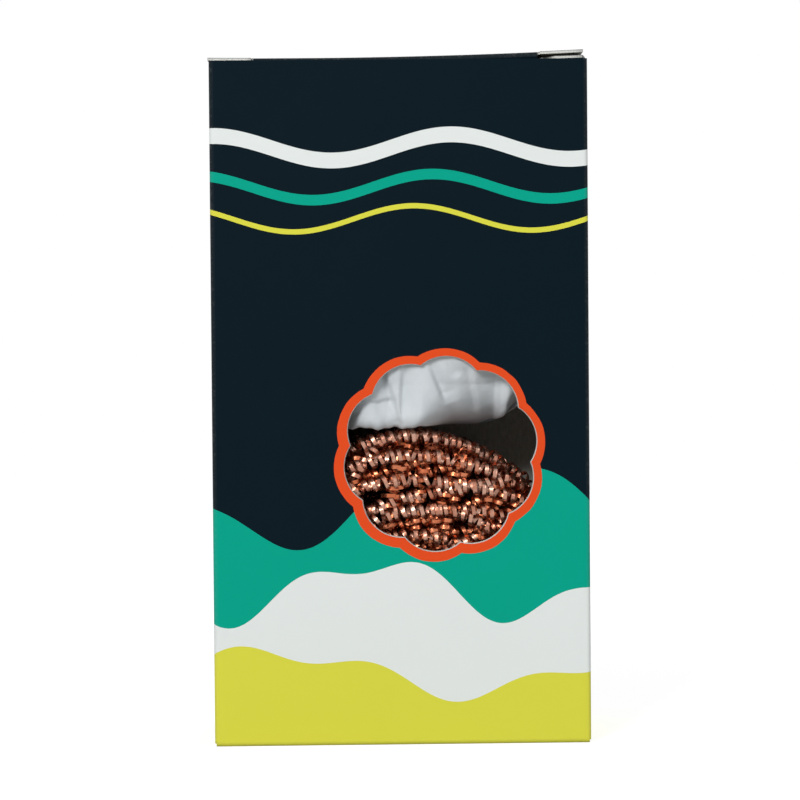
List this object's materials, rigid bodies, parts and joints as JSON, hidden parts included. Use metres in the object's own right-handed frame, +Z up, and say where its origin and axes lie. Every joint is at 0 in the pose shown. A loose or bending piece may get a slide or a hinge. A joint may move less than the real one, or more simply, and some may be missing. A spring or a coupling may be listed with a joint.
{
  "type": "boxed pot scrubbers",
  "caption": "Curled copper pot scrubbers nested in tissue inside a folding carton with a scalloped front window, hinged lid and base, tuck flaps and dust flaps.",
  "frame": {"origin": "on the standing surface, under the middle of the closed carton", "axes": "+Z up along the carton's height, the window faces -Y, +X to the right seen from the window side"},
  "size_m": [0.072, 0.042, 0.1313],
  "materials": {
    "printed_board": "satin",
    "flap_board": "matte",
    "seam_glue": "matte",
    "tissue": "matte",
    "copper_tangle": "satin"
  },
  "bodies": {
    "carton": {"front_panel": "printed_board", "back_panel": "printed_board", "left_side_panel": "printed_board", "right_side_panel": "printed_board", "glue_flap": "flap_board", "seam_glue": "seam_glue", "tissue_nest": "tissue", "lower_scourer_core": "copper_tangle", "lower_scourer_strand": "copper_tangle"},
    "lid": {"lid_panel": "printed_board"},
    "lid_tuck": {"lid_tuck_flap": "flap_board"},
    "top_left_dust": {"top_left_dust_flap": "flap_board"},
    "top_right_dust": {"top_right_dust_flap": "flap_board"},
    "upper_scourer": {"upper_scourer_core": "copper_tangle", "upper_scourer_strand": "copper_tangle"},
    "base": {"base_panel": "printed_board"},
    "base_tuck": {"base_tuck_flap": "flap_board"},
    "bottom_left_dust": {"bottom_left_dust_flap": "flap_board"},
    "bottom_right_dust": {"bottom_right_dust_flap": "flap_board"}
  },
  "joints": [
    {"name": "lid_open", "type": "hinge", "parent": "carton", "child": "lid", "pos_m": [0, 0.021, 0.1313], "axis": [-1, 0, 0], "range_deg": [0, 175]},
    {"name": "lid_tuck_fold", "type": "hinge", "parent": "lid", "child": "lid_tuck", "pos_m": [0, -0.02, 0.1313], "axis": [-1, 0, 0], "range_deg": [0, 45]},
    {"name": "top_left_dust_fold", "type": "hinge", "parent": "carton", "child": "top_left_dust", "pos_m": [-0.036, 0, 0.1307], "axis": [0, -1, 0], "range_deg": [0, 122.5]},
    {"name": "top_right_dust_fold", "type": "hinge", "parent": "carton", "child": "top_right_dust", "pos_m": [0.036, 0, 0.1307], "axis": [0, 1, 0], "range_deg": [0, 122.5]},
    {"name": "upper_scourer_lift", "type": "slide", "parent": "carton", "child": "upper_scourer", "axis": [0, 0, 1], "range_m": [0, 0.072]},
    {"name": "base_open", "type": "hinge", "parent": "carton", "child": "base", "pos_m": [0, -0.021, 0], "axis": [-1, 0, 0], "range_deg": [0, 175]},
    {"name": "base_tuck_fold", "type": "hinge", "parent": "base", "child": "base_tuck", "pos_m": [0, 0.02, 0], "axis": [-1, 0, 0], "range_deg": [0, 45]},
    {"name": "bottom_left_dust_fold", "type": "hinge", "parent": "carton", "child": "bottom_left_dust", "pos_m": [-0.036, 0, 0.0006], "axis": [0, 1, 0], "range_deg": [0, 122.5]},
    {"name": "bottom_right_dust_fold", "type": "hinge", "parent": "carton", "child": "bottom_right_dust", "pos_m": [0.036, 0, 0.0006], "axis": [0, -1, 0], "range_deg": [0, 122.5]}
  ],
  "couplings": [
    {"joint": "lid_tuck_fold", "follows": "lid_open", "ratio": 0.25},
    {"joint": "top_left_dust_fold", "follows": "lid_open", "ratio": 0.7},
    {"joint": "top_right_dust_fold", "follows": "lid_open", "ratio": 0.7},
    {"joint": "upper_scourer_lift", "follows": "lid_open", "m_per_rad": 0.02357},
    {"joint": "base_tuck_fold", "follows": "base_open", "ratio": 0.25},
    {"joint": "bottom_left_dust_fold", "follows": "base_open", "ratio": 0.7},
    {"joint": "bottom_right_dust_fold", "follows": "base_open", "ratio": 0.7}
  ]
}
